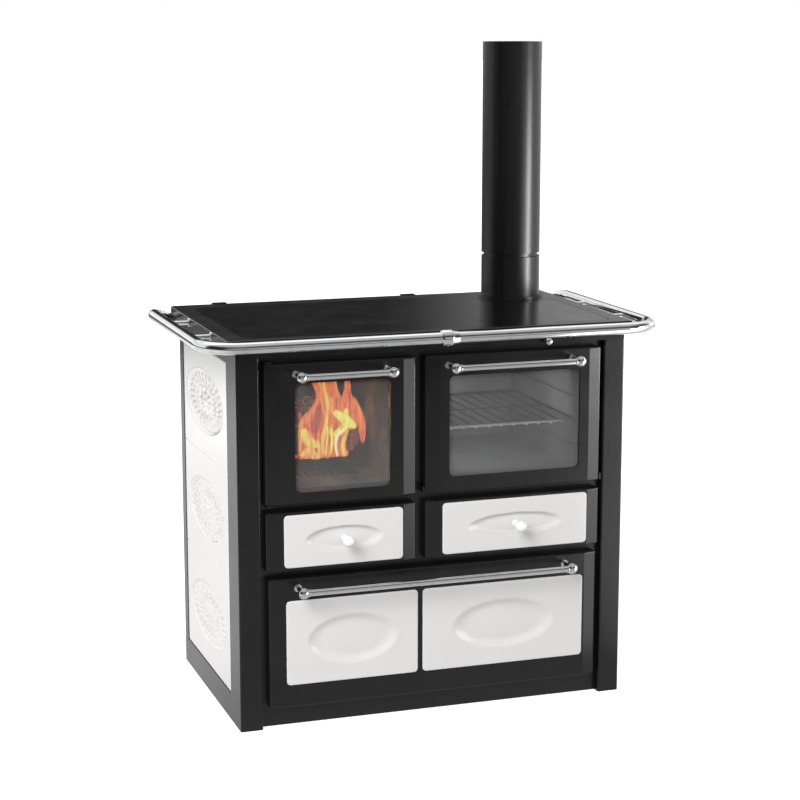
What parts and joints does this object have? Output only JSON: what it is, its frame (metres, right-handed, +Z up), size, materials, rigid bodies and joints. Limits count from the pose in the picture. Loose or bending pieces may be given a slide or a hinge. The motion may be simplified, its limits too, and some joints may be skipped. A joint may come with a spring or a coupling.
{
  "type": "wood cookstove",
  "caption": "Wood-burning cookstove with a glazed firebox door, glazed oven door, tiled drawers, cast hot plate with a hob ring, towel rail and a flue pipe.",
  "frame": {"origin": "floor level under the middle of the overall width and depth", "axes": "+X to the right seen from the front, +Y to the back, +Z up; metres"},
  "size_m": [1.058, 0.6332, 1.467],
  "materials": {
    "black_enamel": "semi-gloss black heat-proof paint",
    "cast_black": "fine cast surface, blackened",
    "hot_plate": "ground and blackened cooking plate",
    "white_tile": "glossy white glaze",
    "white_ball": "glossy white glaze",
    "chrome": "polished chrome plate",
    "door_glass": "clear heat-resistant glass",
    "rope": "braided glass-fibre rope",
    "sheet_steel": "bare sheet steel",
    "black_pipe": "satin black enamel",
    "firebrick": "dry fireclay",
    "logs": "split logs with bark, burning",
    "grey_enamel": "grey oven enamel"
  },
  "bodies": {
    "stove": {"post_left": "black_enamel", "post_right": "black_enamel", "side_frame_left": "black_enamel", "side_frame_right": "black_enamel", "side_tiles_left": "white_tile", "side_tiles_right": "white_tile", "front_faceplate": "black_enamel", "base_pan": "black_enamel", "cabinet_shelves": "sheet_steel", "centre_walls": "sheet_steel", "rear_panel": "black_enamel", "drawer_runners": "sheet_steel", "cooktop_frame": "cast_black", "hot_plate": "hot_plate", "towel_rail": "chrome", "rail_collar": "chrome", "rail_brackets": "chrome", "flue_collar": "black_pipe", "flue_pipe": "black_pipe", "firebox_shell": "sheet_steel", "firebricks": "firebrick", "grate": "cast_black", "firewood": "logs", "oven_box": "grey_enamel", "oven_rack": "chrome", "smoke_divider": "sheet_steel", "firebox_hinge": "black_enamel", "oven_hinge": "black_enamel"},
    "firebox_door": {"firebox_door_frame": "cast_black", "firebox_glass": "door_glass", "firebox_seal": "rope", "firebox_glass_clips": "sheet_steel", "firebox_handle_bar": "chrome", "firebox_handle_posts": "chrome", "firebox_latch": "sheet_steel"},
    "oven_door": {"oven_door_frame": "cast_black", "oven_glass": "door_glass", "oven_seal": "rope", "oven_glass_clips": "sheet_steel", "oven_handle_bar": "chrome", "oven_handle_posts": "chrome"},
    "ash_drawer": {"ash_drawer_front": "black_enamel", "ash_drawer_tile": "white_tile", "ash_drawer_knob": "white_ball", "ash_drawer_box": "sheet_steel"},
    "right_drawer": {"right_drawer_front": "black_enamel", "right_drawer_tile": "white_tile", "right_drawer_knob": "white_ball", "right_drawer_box": "sheet_steel"},
    "wood_drawer": {"wood_drawer_front": "black_enamel", "wood_drawer_tiles": "white_tile", "wood_drawer_handle_bar": "chrome", "wood_drawer_handle_posts": "chrome", "wood_drawer_box": "sheet_steel"},
    "damper": {"damper_rod": "sheet_steel", "damper_knob": "chrome"},
    "hob_ring": {"hob_ring": "hot_plate"},
    "hob_lid": {"hob_lid": "hot_plate"},
    "air_register": {"air_register": "black_enamel"}
  },
  "joints": [
    {"name": "firebox_door_hinge", "type": "hinge", "parent": "stove", "child": "firebox_door", "pos_m": [-0.3775, -0.24638, 0.6535], "axis": [0, 0, -1], "range_deg": [0, 110]},
    {"name": "oven_door_hinge", "type": "hinge", "parent": "stove", "child": "oven_door", "pos_m": [0.17975, -0.24638, 0.5105], "axis": [1, 0, 0], "range_deg": [0, 90]},
    {"name": "ash_drawer_slide", "type": "slide", "parent": "stove", "child": "ash_drawer", "axis": [0, -1, 0], "range_m": [0, 0.25]},
    {"name": "right_drawer_slide", "type": "slide", "parent": "stove", "child": "right_drawer", "axis": [0, -1, 0], "range_m": [0, 0.22]},
    {"name": "wood_drawer_slide", "type": "slide", "parent": "stove", "child": "wood_drawer", "axis": [0, -1, 0], "range_m": [0, 0.35]},
    {"name": "damper_pull", "type": "slide", "parent": "stove", "child": "damper", "axis": [0, -1, 0], "range_m": [0, 0.06]},
    {"name": "hob_ring_lift", "type": "slide", "parent": "stove", "child": "hob_ring", "axis": [0, 0, 1], "range_m": [0, 0.12]},
    {"name": "hob_lid_lift", "type": "slide", "parent": "hob_ring", "child": "hob_lid", "axis": [0, 0, 1], "range_m": [0, 0.12]},
    {"name": "air_register_slide", "type": "slide", "parent": "stove", "child": "air_register", "axis": [1, 0, 0], "range_m": [0, 0.017]}
  ]
}
